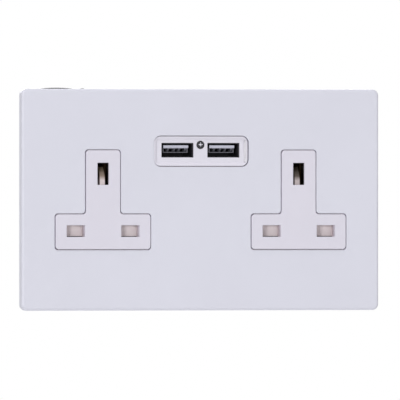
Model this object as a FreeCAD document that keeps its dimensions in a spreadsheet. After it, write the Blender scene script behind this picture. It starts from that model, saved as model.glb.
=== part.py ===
import FreeCAD, Part
import math
import os
import re
import Sketcher

# A two-gang wall socket with a clip-on metal front plate, two shuttered three-pin outlets
# and two charging ports in a bezel between them.
# X runs to the right, Z up and Y into the wall. The origin is on the wall's surface, midway
# between the two fixing holes. "Front" in a formula is a distance out of the wall, so a
# piece in the wall box has a negative front. All lengths are millimetres.

SIZES = {
    # Metal front plate
    "plate_width": 146.0,
    "plate_height": 86.0,
    "plate_front": 4.0,
    "plate_sheet": 1.2,
    "plate_corner": 2.4,
    "plate_edge": 1.0,
    "plate_rest": 0.1,
    "plate_slack": 0.25,
    "cutout_gap": 0.35,
    # Gasket between the plate's rim and the wall
    "gasket_thickness": 0.6,
    "gasket_inset": 1.0,
    "gasket_clearance": 1.0,
    "gasket_corner": 2.0,
    "bulge_place": 58.5,
    "bulge_width": 13.0,
    "bulge_rise": 0.3,
    "small_bulge_place": 47.6,
    "small_bulge_width": 2.2,
    # Socket faces, which stand through the plate in the shape of an upturned T
    "socket_spacing": 80.0,
    "tee_width": 38.6,
    "tee_height": 38.4,
    "tee_stem": 13.9,
    "tee_base": 13.55,
    "tee_proud": 0.3,
    "tee_corner": 1.3,
    # Pin holes
    "pin_spacing": 22.2,
    "earth_rise": 22.2,
    "pin_line": 12.15,
    "live_hole_width": 7.4,
    "live_hole_height": 4.45,
    "earth_hole_width": 4.6,
    "earth_hole_height": 8.55,
    # Fixing holes
    "fixing_spacing": 120.6,
    "fixing_hole": 4.4,
    "fixing_head": 8.2,
    "fixing_seat": 1.4,
    "fixing_pad": 9.0,
    # Moulded housing in the wall box
    "housing_width": 116.0,
    "housing_height": 58.0,
    "housing_back": 24.0,
    "housing_start": 1.5,
    "housing_wall": 1.6,
    "housing_floor": 2.0,
    "housing_corner": 1.6,
    "housing_chamfer": 1.0,
    "lug_notch": 3.5,
    "lug_height": 13.0,
    "partition": 1.4,
    "post_across": 22.0,
    "post_up": 24.8,
    "post_side": 6.4,
    "boss_side": 5.6,
    "screw_hole": 2.7,
    "screw_shank": 2.6,
    "screw_head": 4.4,
    "screw_head_room": 4.8,
    "screw_head_height": 1.8,
    "screw_seat": 12.0,
    "screw_bite": 2.2,
    "slot_width": 0.7,
    "slot_depth": 0.7,
    # Shutters
    "shutter_width": 31.6,
    "shutter_lap": 0.4,
    "shutter_sill": 0.5,
    "shutter_thickness": 1.8,
    "shutter_gap": 0.1,
    "shutter_travel": 7.0,
    "shutter_stem": 8.0,
    "ramp_width": 2.1,
    "ramp_depth": 1.0,
    "ramp_height": 7.0,
    "ramp_slack": 0.25,
    "ramp_room": 1.2,
    "face_skin": 0.8,
    "foot_width": 4.4,
    "foot_height": 3.0,
    "guide_width": 1.2,
    "guide_slack": 0.3,
    # Shutter springs
    "spring_diameter": 2.6,
    "spring_wire": 0.36,
    "spring_turns": 6.0,
    "spring_length": 9.8,
    "spring_seat": 0.9,
    "shelf_width": 7.0,
    "shelf_thickness": 1.2,
    # Brass contacts and the bars that join them
    "brass": 0.8,
    "clip_start": 4.0,
    "clip_flare": 0.8,
    "clip_mouth": 1.6,
    "live_clip_gap": 4.2,
    "live_clip_width": 6.4,
    "earth_clip_gap": 4.2,
    "earth_clip_height": 8.0,
    "well_width": 8.0,
    "well_height": 8.0,
    "earth_well_width": 7.6,
    "earth_well_height": 10.6,
    "bar_height": 3.4,
    "tab_width": 3.0,
    "bar_clearance": 0.4,
    "neutral_bar_depth": 13.5,
    "line_bar_depth": 16.0,
    "earth_bar_depth": 19.2,
    "slot_slack": 0.3,
    # Terminals
    "terminal_width": 8.0,
    "terminal_height": 9.0,
    "terminal_depth": 8.5,
    "wire_hole": 4.5,
    "wire_entry": 7.0,
    "terminal_screw_offset": 2.2,
    "terminal_screw_hole": 3.6,
    "terminal_screw": 3.5,
    "terminal_screw_lift": 1.5,
    "terminal_screw_reach": 3.5,
    "driver_hole": 6.5,
    "supply_terminal_place": 8.0,
    "earth_terminal_place": 30.0,
    "link_width": 3.0,
    "link_thickness": 0.6,
    "neutral_link_place": 14.0,
    "line_link_place": 15.0,
    # Charging ports
    "bezel_width": 38.2,
    "bezel_height": 11.5,
    "bezel_up": 18.85,
    "bezel_corner": 2.6,
    "bezel_gap": 0.3,
    "bezel_offset": 0.2,
    "bezel_set_back": 0.1,
    "bezel_sink": 0.8,
    "bezel_slack": 0.1,
    "bezel_rim": 0.5,
    "bezel_step": 0.5,
    "bezel_slope_angle": 61.0,
    "bezel_panel": 1.0,
    "bezel_spigot": 1.1,
    "port_spacing": 18.8,
    "port_up": 19.25,
    "port_width": 13.1,
    "port_height": 5.65,
    "shell_width": 13.1,
    "shell_height": 5.72,
    "shell_wall": 0.3,
    "shell_length": 14.0,
    "shell_recess": 1.1,
    "port_slack": 0.15,
    "port_hole_width": 14.6,
    "port_hole_height": 7.2,
    "tongue_width": 11.1,
    "tongue_height": 1.6,
    "tongue_drop": 0.64,
    "tongue_recess": 0.45,
    "tongue_chamfer": 0.35,
    "root_start": 4.4,
    "root_height": 2.9,
    "rear_block": 3.0,
    "contact_pitch": 2.5,
    "contact_inner": 1.0,
    "contact_width": 1.0,
    "contact_thickness": 0.25,
    "contact_start": 0.7,
    "contact_bump": 0.3,
    "contact_leg": 0.5,
    "contact_slot": 1.3,
    "window_width": 1.8,
    "window_length": 4.0,
    "bezel_screw_up": 21.3,
    "bezel_screw_head": 2.7,
    "bezel_screw_room": 3.3,
    "bezel_screw_shank": 1.8,
    "bezel_screw_hole": 1.9,
    "bezel_screw_length": 5.0,
    "bezel_screw_set_back": 0.25,
    "bezel_screw_head_height": 0.7,
    "bezel_boss": 4.4,
    "bezel_boss_length": 4.0,
    "cross_width": 0.55,
    "cross_length": 1.9,
    "cross_depth": 0.5,
    # Charger circuit
    "charger_half": 20.0,
    "charger_floor": 12.5,
    "board_thickness": 1.6,
    "board_slack": 0.2,
    "board_front": 2.0,
    "board_length": 19.5,
    "ledge_width": 3.0,
    "core_width": 13.0,
    "core_height": 9.5,
    "core_depth": 3.4,
    "coil_width": 9.0,
    "coil_height": 7.5,
    "coil_depth": 7.4,
    "transformer_place": 9.0,
    "component_depth": 17.2,
    "capacitor_diameter": 6.0,
    "capacitor_height": 9.0,
    "capacitor_place": 10.0,
    "capacitor_spacing": 6.6,
    # Spring clips that hold the plate on
    "clip_place": 45.0,
    "clip_width": 8.0,
    "clip_notch": 0.7,
    "clip_strip": 0.35,
    "clip_bow": 0.45,
    "clip_side_gap": 0.2,
}

# Formulas that several pieces share
MOULDING_FRONT = "(plate_front - plate_sheet - plate_rest)"
MOULDING_WIDTH = "(plate_width - 2 * plate_sheet - 2 * plate_slack)"
MOULDING_HEIGHT = "(plate_height - 2 * plate_sheet - 2 * plate_slack)"
TEE_FRONT = "(plate_front + tee_proud)"
EARTH_UP = "(earth_rise - pin_line)"
SHUTTER_FRONT = "(gasket_thickness - shutter_gap)"
SHUTTER_TOP = "(live_hole_height / 2 - pin_line + shutter_lap)"
SHUTTER_BOTTOM = "(shutter_sill - live_hole_height / 2 - pin_line)"
SHUTTER_HEIGHT = f"({SHUTTER_TOP} - {SHUTTER_BOTTOM})"
RAMP_BOTTOM = f"({EARTH_UP} - earth_hole_height / 2)"
SPRING_BOTTOM = f"({SHUTTER_BOTTOM} - spring_length)"
WELL_HALF = "(well_height / 2 + partition)"
NEUTRAL_BAR_UP = f"({WELL_HALF} - pin_line + bar_clearance + bar_height / 2)"
LINE_BAR_UP = f"(-{WELL_HALF} - pin_line - bar_clearance - bar_height / 2)"
EARTH_BAR_UP = f"({EARTH_UP} - earth_well_height / 2 - partition - bar_clearance - bar_height / 2)"
BEZEL_FRONT = "(plate_front - bezel_set_back)"
BEZEL_BACK = f"({MOULDING_FRONT} - bezel_sink)"
PANEL_FRONT = f"({BEZEL_FRONT} - bezel_step)"
SHELL_FRONT = f"({PANEL_FRONT} - shell_recess)"
TONGUE_FRONT = f"({SHELL_FRONT} - tongue_recess)"
TONGUE_TOP = "(port_up + shell_height / 2 - shell_wall - tongue_drop)"
TONGUE_BOTTOM = f"({TONGUE_TOP} - tongue_height)"
BOARD_TOP = "(port_up - shell_height / 2)"
CONTACT_PLACES = (
    "(-contact_inner - contact_pitch)",
    "-contact_inner",
    "contact_inner",
    "(contact_inner + contact_pitch)",
)

SIDES = {"left": -1, "right": 1}

doc = FreeCAD.newDocument("usb_wall_socket")
sheet = doc.addObject("Spreadsheet::Sheet", "sizes")
nodes = []


def fill_sheet():
    for row, (name, number) in enumerate(SIZES.items(), start=1):
        sheet.set(f"A{row}", name.replace("_", " "))
        sheet.set(f"B{row}", str(number))
        sheet.setAlias(f"B{row}", name)
    doc.recompute()


def formula(text):
    """The same formula, with each size's name turned into a reference to its cell."""
    return re.sub(r"[a-z_]+", lambda word: "sizes." + word.group(), str(text))


def new_body(name):
    return doc.addObject("PartDesign::Body", name)


def keep(piece, label):
    """Names a finished piece, which is written to a file of that name."""
    piece.Label = label
    nodes.append(piece)
    return piece


def keep_group(pieces, label):
    """Like pieces that share one file stay separate solids in a compound."""
    group = doc.addObject("Part::Compound", "group_" + label)
    group.Links = pieces
    return keep(group, label)


def new_sketch(body, plane_role, offset):
    """A sketch on one of the body's own planes, moved out of it by an offset."""
    sketch = body.newObject("Sketcher::SketchObject", "sketch")
    plane = next(f for f in body.Origin.OriginFeatures if f.Role == plane_role)
    sketch.AttachmentSupport = (plane, [""])
    sketch.MapMode = "FlatFace"
    sketch.setExpression("AttachmentOffset.Base.z", formula(offset))
    return sketch


def place_point(sketch, geometry, point, x, y):
    """Ties a point of the sketch to two formulas, measured from the sketch's origin."""
    for kind, text in (("DistanceX", x), ("DistanceY", y)):
        rule = sketch.addConstraint(Sketcher.Constraint(kind, -1, 1, geometry, point, 1))
        sketch.setExpression(f"Constraints[{rule}]", formula(text))


def draw_polygon(sketch, corners):
    """A closed outline whose corners are each two formulas."""
    count = len(corners)
    turn = 2 * math.pi / count
    start = [FreeCAD.Vector(math.cos(i * turn), math.sin(i * turn), 0) for i in range(count)]
    first = sketch.GeometryCount
    for i in range(count):
        sketch.addGeometry(Part.LineSegment(start[i], start[(i + 1) % count]), False)
    for i in range(count):
        following = first + (i + 1) % count
        sketch.addConstraint(Sketcher.Constraint("Coincident", first + i, 2, following, 1))
    for i, (x, y) in enumerate(corners):
        place_point(sketch, first + i, 1, x, y)


def draw_rectangle(sketch, x, y, width, height):
    corners = [
        (f"{x} - ({width}) / 2", f"{y} - ({height}) / 2"),
        (f"{x} + ({width}) / 2", f"{y} - ({height}) / 2"),
        (f"{x} + ({width}) / 2", f"{y} + ({height}) / 2"),
        (f"{x} - ({width}) / 2", f"{y} + ({height}) / 2"),
    ]
    draw_polygon(sketch, corners)


def draw_circle(sketch, x, y, diameter):
    centre = FreeCAD.Vector(0, 0, 0)
    number = sketch.addGeometry(Part.Circle(centre, FreeCAD.Vector(0, 0, 1), 1), False)
    place_point(sketch, number, 3, x, y)
    rule = sketch.addConstraint(Sketcher.Constraint("Diameter", number, 2))
    sketch.setExpression(f"Constraints[{rule}]", formula(diameter))


def extrude(body, kind, sketch, length, both_ways):
    """A pad or a pocket of a sketch, not yet brought up to date."""
    sketch.recompute()
    feature = body.newObject("PartDesign::" + kind, kind.lower())
    feature.Profile = sketch
    feature.setExpression("Length", formula(length))
    if both_ways:
        feature.SideType = "Symmetric"
    return feature


def pad(body, sketch, length, backwards=True, both_ways=False):
    feature = extrude(body, "Pad", sketch, length, both_ways)
    feature.Reversed = backwards
    feature.recompute()


def pocket(body, sketch, length, both_ways=False):
    """Cuts backwards from a sketch that faces the front, and checks that it cut something."""
    before = body.Tip.Shape.Volume
    feature = extrude(body, "Pocket", sketch, length, both_ways)
    feature.recompute()
    if feature.Shape.Volume > before - 1e-6:
        raise RuntimeError(f"a cut in {body.Name} takes nothing away")


def front_view(body, front, draw, outlines):
    """A sketch seen from the front, at a distance out of the wall, with one or more outlines."""
    sketch = new_sketch(body, "XZ_Plane", front)
    for outline in outlines:
        draw(sketch, *outline)
    return sketch


def add_blocks(body, front, depth, *rectangles):
    """Blocks given by x, z, width and height, from their front face back by depth."""
    pad(body, front_view(body, front, draw_rectangle, rectangles), depth)


def cut_blocks(body, front, depth, *rectangles):
    pocket(body, front_view(body, front, draw_rectangle, rectangles), depth)


def cut_sloping(body, front, depth, angle, rectangle):
    """Cuts a block whose four sides slope in, each by the same angle from the depth."""
    sketch = front_view(body, front, draw_rectangle, [rectangle])
    feature = extrude(body, "Pocket", sketch, depth, False)
    feature.setExpression("TaperAngle", formula(f"-{angle}"))
    feature.recompute()


def add_rounds(body, front, depth, *circles):
    """Round bosses given by x, z and diameter, from their front face back by depth."""
    pad(body, front_view(body, front, draw_circle, circles), depth)


def cut_rounds(body, front, depth, *circles):
    pocket(body, front_view(body, front, draw_circle, circles), depth)


def add_outlines(body, front, depth, *outlines):
    pad(body, front_view(body, front, draw_polygon, [[o] for o in outlines]), depth)


def cut_outlines(body, front, depth, *outlines):
    pocket(body, front_view(body, front, draw_polygon, [[o] for o in outlines]), depth)


def add_profile(body, x, corners, width):
    """A side view in Y and Z, spread evenly to both sides of x."""
    sketch = new_sketch(body, "YZ_Plane", x)
    draw_polygon(sketch, corners)
    pad(body, sketch, width, both_ways=True)


def middle_of(edge):
    centre = edge.BoundBox.Center
    return round(centre.x, 3), round(centre.y, 3), round(centre.z, 3), round(edge.Length, 3)


def depth_edges(body, before):
    """Names of the body's straight edges along Y that it did not have before."""
    known = {middle_of(edge) for edge in before.Edges}
    names = []
    for number, edge in enumerate(body.Tip.Shape.Edges, start=1):
        box = edge.BoundBox
        along_depth = box.XLength < 1e-4 and box.ZLength < 1e-4
        if along_depth and middle_of(edge) not in known:
            names.append(f"Edge{number}")
    return names


def slanting_edges(body):
    """Names of the body's edges that run in depth and sideways at once."""
    names = []
    for number, edge in enumerate(body.Tip.Shape.Edges, start=1):
        box = edge.BoundBox
        if min(box.XLength, box.YLength, box.ZLength) > 1e-4:
            names.append(f"Edge{number}")
    return names


def edges_at_front(body, front_face, radius_of_zone):
    """Names of the edges that lie in a plane across Y, within a distance of the Z axis."""
    names = []
    for number, edge in enumerate(body.Tip.Shape.Edges, start=1):
        box = edge.BoundBox
        in_plane = box.YLength < 1e-4 and abs(box.YMin + front_face) < 1e-4
        if in_plane and max(abs(box.XMin), abs(box.XMax)) <= radius_of_zone:
            names.append(f"Edge{number}")
    return names


def round_off(body, names, radius, kind="Fillet"):
    """Rounds or chamfers the named edges of the body's last feature."""
    feature = body.newObject("PartDesign::" + kind, kind.lower())
    feature.Base = (body.Group[-2], names)
    feature.setExpression("Radius" if kind == "Fillet" else "Size", formula(radius))
    feature.recompute()
    return feature


def empty_shape():
    return Part.Shape()


def tee_outline(side, gap):
    """An upturned T about one socket's centre, wider all round by gap."""
    centre = f"({side} * socket_spacing / 2)"
    base = f"(tee_width / 2 + {gap})"
    stem = f"(tee_stem / 2 + {gap})"
    bottom = f"(-tee_height / 2 - {gap})"
    shoulder = f"(tee_base - tee_height / 2 + {gap})"
    top = f"(tee_height / 2 + {gap})"
    return [
        (f"{centre} - {base}", bottom),
        (f"{centre} + {base}", bottom),
        (f"{centre} + {base}", shoulder),
        (f"{centre} + {stem}", shoulder),
        (f"{centre} + {stem}", top),
        (f"{centre} - {stem}", top),
        (f"{centre} - {stem}", shoulder),
        (f"{centre} - {base}", shoulder),
    ]


def make_cover_plate():
    body = new_body("cover_plate")
    rim_depth = "(plate_front - gasket_thickness - plate_rest)"
    add_blocks(body, "plate_front", rim_depth, (0, 0, "plate_width", "plate_height"))
    round_off(body, depth_edges(body, empty_shape()), "plate_corner")
    face_edges = edges_at_front(body, SIZES["plate_front"], SIZES["plate_width"])
    round_off(body, face_edges, "plate_edge")
    before = body.Tip.Shape
    inside = (0, 0, "plate_width - 2 * plate_sheet", "plate_height - 2 * plate_sheet")
    cut_blocks(body, "plate_front - plate_sheet", "plate_front", inside)
    round_off(body, depth_edges(body, before), "plate_corner - plate_sheet")
    before = body.Tip.Shape
    tees = [tee_outline(side, "cutout_gap") for side in SIDES.values()]
    cut_outlines(body, "plate_front", "2 * plate_sheet", *tees)
    round_off(body, depth_edges(body, before), "tee_corner")
    before = body.Tip.Shape
    size = ("bezel_width + 2 * bezel_gap", "bezel_height + 2 * bezel_gap")
    cut_blocks(body, "plate_front", "2 * plate_sheet", ("bezel_offset", "bezel_up", *size))
    round_off(body, depth_edges(body, before), "bezel_corner + bezel_gap")
    keep(body, "cover_plate")


def make_gasket():
    """A thin foam frame, which shows past the plate's top edge in two places."""
    body = new_body("gasket")
    face = ("gasket_thickness", "gasket_thickness")
    add_blocks(
        body, *face, (0, 0, "plate_width - 2 * gasket_inset", "plate_height - 2 * gasket_inset")
    )
    round_off(body, depth_edges(body, empty_shape()), "gasket_corner")
    bulge_height = "(2 * gasket_inset + bulge_rise)"
    bulge_up = f"(plate_height / 2 + bulge_rise - {bulge_height} / 2)"
    add_blocks(
        body,
        *face,
        ("-bulge_place", bulge_up, "bulge_width", bulge_height),
        ("-small_bulge_place", bulge_up, "small_bulge_width", bulge_height),
    )
    opening_width = "housing_width + 2 * gasket_clearance"
    opening_height = "housing_height + 2 * gasket_clearance"
    cut_blocks(body, *face, (0, 0, opening_width, opening_height))
    cut_blocks(body, *face, *fixing_squares("fixing_pad + 2 * gasket_clearance"))
    keep(body, "gasket")


def fixing_circles(diameter):
    return [(f"{side} * fixing_spacing / 2", 0, diameter) for side in SIDES.values()]


def fixing_squares(side):
    """A square round each fixing screw."""
    return [(x, z, side, side) for x, z, _ in fixing_circles(side)]


def post_circles(diameter):
    """The four places where a housing screw runs."""
    ways = (-1, 1)
    return [(f"{a} * post_across", f"{b} * post_up", diameter) for a in ways for b in ways]


def post_squares(side):
    """A square post round each housing screw."""
    return [(x, z, side, side) for x, z, _ in post_circles(side)]


def housing_section(inset):
    """The housing's outline drawn in by inset, with a notch each side for the box's screw lugs."""
    wide = f"(housing_width / 2 - {inset})"
    narrow = f"(housing_width / 2 - lug_notch - {inset})"
    high = f"(housing_height / 2 - {inset})"
    notch = f"(lug_height / 2 + {inset})"
    quarter = [(narrow, notch), (wide, notch), (wide, high)]
    right_top = quarter
    left_top = [(f"-{x}", z) for x, z in reversed(quarter)]
    left_bottom = [(f"-{x}", f"-{z}") for x, z in quarter]
    right_bottom = [(x, f"-{z}") for x, z in reversed(quarter)]
    return right_top + left_top + left_bottom + right_bottom


def outer_corners(body):
    """Names of the four edges along Y that are furthest up and down the housing."""
    half_height = SIZES["housing_height"] / 2
    names = []
    for name in depth_edges(body, empty_shape()):
        if abs(abs(body.Tip.Shape.getElement(name).BoundBox.ZMin) - half_height) < 1e-4:
            names.append(name)
    return names


def make_front_moulding():
    body = new_body("front_moulding")
    thickness = f"({MOULDING_FRONT} - gasket_thickness)"
    collar_depth = "(gasket_thickness + housing_start)"
    add_outlines(body, "gasket_thickness", collar_depth, housing_section("0"))
    round_off(body, outer_corners(body), "housing_corner", "Chamfer")
    cut_outlines(body, "gasket_thickness", collar_depth, housing_section("housing_wall"))
    before = body.Tip.Shape
    add_blocks(body, MOULDING_FRONT, thickness, (0, 0, MOULDING_WIDTH, MOULDING_HEIGHT))
    round_off(body, depth_edges(body, before), "plate_corner - plate_sheet")
    add_socket_faces(body)
    add_shutter_guides(body)
    add_fixing_holes(body)
    add_blocks(body, "gasket_thickness", collar_depth, *post_squares("boss_side"))
    bite_front = "screw_bite - housing_start"
    cut_rounds(body, bite_front, "screw_bite", *post_circles("screw_hole"))
    cut_blocks(body, MOULDING_FRONT, thickness, *clip_notches())
    add_bezel_seat(body, thickness)
    keep(body, "front_moulding")


def add_socket_faces(body):
    """The T-shaped faces with their pin holes and the pockets that the shutters' ramps run in."""
    depth = f"({TEE_FRONT} - gasket_thickness)"
    before = body.Tip.Shape
    add_outlines(body, TEE_FRONT, depth, *[tee_outline(side, "0") for side in SIDES.values()])
    round_off(body, depth_edges(body, before), "tee_corner")
    holes = []
    pockets = []
    pocket_low = f"({RAMP_BOTTOM} - shutter_travel - 3 * ramp_slack)"
    pocket_high = f"({EARTH_UP} + earth_hole_height / 2 + ramp_room)"
    pocket_up = f"({pocket_low} + {pocket_high}) / 2"
    pocket_size = ("shutter_stem + 2 * ramp_slack", f"{pocket_high} - {pocket_low}")
    for side in SIDES.values():
        centre = f"({side} * socket_spacing / 2)"
        for way in (-1, 1):
            hole_place = f"({centre} + {way} * pin_spacing / 2)"
            holes.append((hole_place, "-pin_line", "live_hole_width", "live_hole_height"))
        holes.append((centre, EARTH_UP, "earth_hole_width", "earth_hole_height"))
        pockets.append((centre, pocket_up, *pocket_size))
    cut_blocks(body, TEE_FRONT, depth, *holes)
    cut_blocks(body, f"{TEE_FRONT} - face_skin", f"{depth} - face_skin", *pockets)


def add_shutter_guides(body):
    """A rib beside each shutter and the shelf under its spring, on the moulding's back."""
    rib_depth = "(shutter_gap + shutter_thickness)"
    rib_height = f"({SHUTTER_HEIGHT} + shutter_travel)"
    rib_up = f"({SHUTTER_TOP} - {rib_height} / 2)"
    shelf_up = f"({SPRING_BOTTOM} - shelf_thickness / 2)"
    shelf_depth = "gasket_thickness + spring_seat + spring_diameter / 2 + spring_wire"
    ribs = []
    shelves = []
    for side in SIDES.values():
        centre = f"({side} * socket_spacing / 2)"
        rib_place = f"({centre} - {side} * (shutter_width / 2 + guide_slack + guide_width / 2))"
        ribs.append((rib_place, rib_up, "guide_width", rib_height))
        shelves.append((centre, shelf_up, "shelf_width", "shelf_thickness"))
    add_blocks(body, "gasket_thickness", rib_depth, *ribs)
    add_blocks(body, "gasket_thickness", shelf_depth, *shelves)


def add_fixing_holes(body):
    """Pads that bear on the wall box's lugs, drilled and sunk for the fixing screws."""
    add_blocks(body, "gasket_thickness", "gasket_thickness", *fixing_squares("fixing_pad"))
    cut_rounds(body, MOULDING_FRONT, MOULDING_FRONT, *fixing_circles("fixing_hole"))
    cut_rounds(body, MOULDING_FRONT, "fixing_seat", *fixing_circles("fixing_head"))


def clip_notches():
    ways = (-1, 1)
    size = ("clip_width + 2 * clip_side_gap", "2 * clip_notch")
    return [
        (f"{a} * clip_place", f"{b} * {MOULDING_HEIGHT} / 2", *size) for a in ways for b in ways
    ]


def add_bezel_seat(body, thickness):
    """The sunk seat of the bezel, a hole for each charging port and a boss for the screw."""
    before = body.Tip.Shape
    seat = (0, "bezel_up", "bezel_width + 2 * bezel_slack", "bezel_height + 2 * bezel_slack")
    cut_blocks(body, MOULDING_FRONT, "bezel_sink", seat)
    round_off(body, depth_edges(body, before), "bezel_corner")
    size = ("port_hole_width", "port_hole_height")
    ports = [(f"{side} * port_spacing / 2", "port_up", *size) for side in SIDES.values()]
    cut_blocks(body, MOULDING_FRONT, thickness, *ports)
    place = (0, "bezel_screw_up")
    add_rounds(body, "gasket_thickness", "bezel_boss_length", (*place, "bezel_boss"))
    cut_rounds(body, MOULDING_FRONT, "bezel_screw_length", (*place, "bezel_screw_hole"))


def make_rear_housing():
    body = new_body("rear_housing")
    front = "-housing_start"
    depth = "(housing_back - housing_start)"
    add_outlines(body, front, depth, housing_section("0"))
    round_off(body, outer_corners(body), "housing_corner", "Chamfer")
    round_off(body, edges_at_back(body), "housing_chamfer", "Chamfer")
    cut_outlines(body, front, f"{depth} - housing_floor", housing_section("housing_wall"))
    add_charger_bay(body, front, depth)
    add_contact_wells(body, front, depth)
    add_blocks(body, front, depth, *post_squares("post_side"))
    cut_rounds(body, front, depth, *post_circles("screw_hole"))
    cut_rounds(body, "-screw_seat", "housing_back", *post_circles("screw_head_room"))
    add_wire_entries(body)
    keep(body, "rear_housing")


def add_contact_wells(body, front, depth):
    """Square tubes round the contacts, each slotted where its contact joins its bar."""
    rim = "2 * partition"
    live_slot = ("live_clip_width + 2 * slot_slack", rim)
    earth_slot = ("earth_clip_gap + 2 * brass + 2 * slot_slack", rim)
    live_wall = "(well_height + partition) / 2"
    towers = []
    wells = []
    slots = {"neutral_bar_depth": [], "line_bar_depth": [], "earth_bar_depth": []}
    for side in SIDES.values():
        centre = f"({side} * socket_spacing / 2)"
        for way, bar_depth in ((-1, "neutral_bar_depth"), (1, "line_bar_depth")):
            place = f"({centre} + {way} * pin_spacing / 2)"
            towers.append((place, "-pin_line", f"well_width + {rim}", f"well_height + {rim}"))
            wells.append((place, "-pin_line", "well_width", "well_height"))
            slots[bar_depth].append((place, f"(-pin_line - {way} * {live_wall})", *live_slot))
        size = (f"earth_well_width + {rim}", f"earth_well_height + {rim}")
        towers.append((centre, EARTH_UP, *size))
        wells.append((centre, EARTH_UP, "earth_well_width", "earth_well_height"))
        slot_up = f"({EARTH_UP} - (earth_well_height + partition) / 2)"
        slots["earth_bar_depth"].append((centre, slot_up, *earth_slot))
    add_blocks(body, front, depth, *towers)
    cut_blocks(body, front, f"{depth} - housing_floor", *wells)
    for bar_depth, places in slots.items():
        cut_blocks(body, front, f"{bar_depth} + brass + slot_slack - housing_start", *places)


def add_charger_bay(body, front, depth):
    """Walls and a floor round the charger's board, with a ledge under each side of it."""
    outside = "(charger_half + partition)"
    low = "(charger_floor - partition)"
    top = "(housing_height / 2 - housing_wall / 2)"
    bay = [
        (f"-{outside}", low),
        (outside, low),
        (outside, top),
        ("charger_half", top),
        ("charger_half", "charger_floor"),
        ("-charger_half", "charger_floor"),
        ("-charger_half", top),
        (f"-{outside}", top),
    ]
    add_outlines(body, front, depth, bay)
    ledge_height = f"({BOARD_TOP} - board_thickness - charger_floor)"
    ledge_up = f"(charger_floor + {ledge_height} / 2)"
    ledges = [
        (f"{side} * (charger_half - ledge_width / 2)", ledge_up, "ledge_width", ledge_height)
        for side in SIDES.values()
    ]
    add_blocks(body, "-board_front", "board_length", *ledges)
    links = (("-neutral_link_place", "neutral_bar_depth"), ("line_link_place", "line_bar_depth"))
    for place, bar_depth in links:
        room_front = f"-({bar_depth} + brass - slot_slack)"
        size = ("link_width + 2 * slot_slack", "2 * partition")
        room_depth = "link_thickness + 2 * slot_slack"
        cut_blocks(body, room_front, room_depth, (place, "charger_floor - partition / 2", *size))


def add_wire_entries(body):
    """Openings for the wires in the top and bottom walls, and for a driver in the back."""
    size = ("wire_entry", "2 * housing_wall")
    driver_holes = []
    for place, up, bar_depth, screw_way, wire_way in terminal_places():
        entry_front = f"-({bar_depth} - terminal_depth / 2 - wire_entry / 2)"
        wall_up = f"{wire_way} * (housing_height - housing_wall) / 2"
        cut_blocks(body, entry_front, "wire_entry", (place, wall_up, *size))
        screw_up = f"({up} + {screw_way} * terminal_screw_offset)"
        driver_holes.append((place, screw_up, "driver_hole"))
    cut_rounds(body, "-(housing_back - 2 * housing_floor)", "2 * housing_floor", *driver_holes)


def terminal_places():
    """For each terminal: its place, height, bar depth, the side its screw is on, and its wire's."""
    half = "(terminal_height - bar_height) / 2"
    return (
        ("supply_terminal_place", f"({LINE_BAR_UP} + {half})", "line_bar_depth", 1, -1),
        ("-supply_terminal_place", f"({NEUTRAL_BAR_UP} - {half})", "neutral_bar_depth", -1, -1),
        ("-earth_terminal_place", f"({EARTH_BAR_UP} + {half})", "earth_bar_depth", 1, 1),
        ("earth_terminal_place", f"({EARTH_BAR_UP} + {half})", "earth_bar_depth", 1, 1),
    )


def make_shutter(name, side):
    """A sliding blade across both lower holes, with a ramp up behind the earth hole."""
    body = new_body("shutter_" + name)
    centre = f"({side} * socket_spacing / 2)"
    stem_top = f"({RAMP_BOTTOM} - ramp_slack)"
    outline = [
        (f"{centre} - shutter_width / 2", SHUTTER_BOTTOM),
        (f"{centre} + shutter_width / 2", SHUTTER_BOTTOM),
        (f"{centre} + shutter_width / 2", SHUTTER_TOP),
        (f"{centre} + shutter_stem / 2", SHUTTER_TOP),
        (f"{centre} + shutter_stem / 2", stem_top),
        (f"{centre} - shutter_stem / 2", stem_top),
        (f"{centre} - shutter_stem / 2", SHUTTER_TOP),
        (f"{centre} - shutter_width / 2", SHUTTER_TOP),
    ]
    add_outlines(body, SHUTTER_FRONT, "shutter_thickness", outline)
    foot_up = f"({SHUTTER_BOTTOM} + foot_height / 2)"
    foot_depth = f"(spring_seat + spring_diameter / 2 + {SHUTTER_FRONT})"
    add_blocks(body, SHUTTER_FRONT, foot_depth, (centre, foot_up, "foot_width", "foot_height"))
    blade_back = f"(shutter_thickness - {SHUTTER_FRONT})"
    ramp_nose = f"(ramp_depth - {TEE_FRONT})"
    ramp_low = f"({RAMP_BOTTOM} - 2 * ramp_slack)"
    ramp = [
        (blade_back, ramp_low),
        (ramp_nose, ramp_low),
        (ramp_nose, RAMP_BOTTOM),
        (blade_back, f"({RAMP_BOTTOM} + ramp_height)"),
    ]
    add_profile(body, centre, ramp, "ramp_width")
    keep(body, "shutter_" + name)


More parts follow.
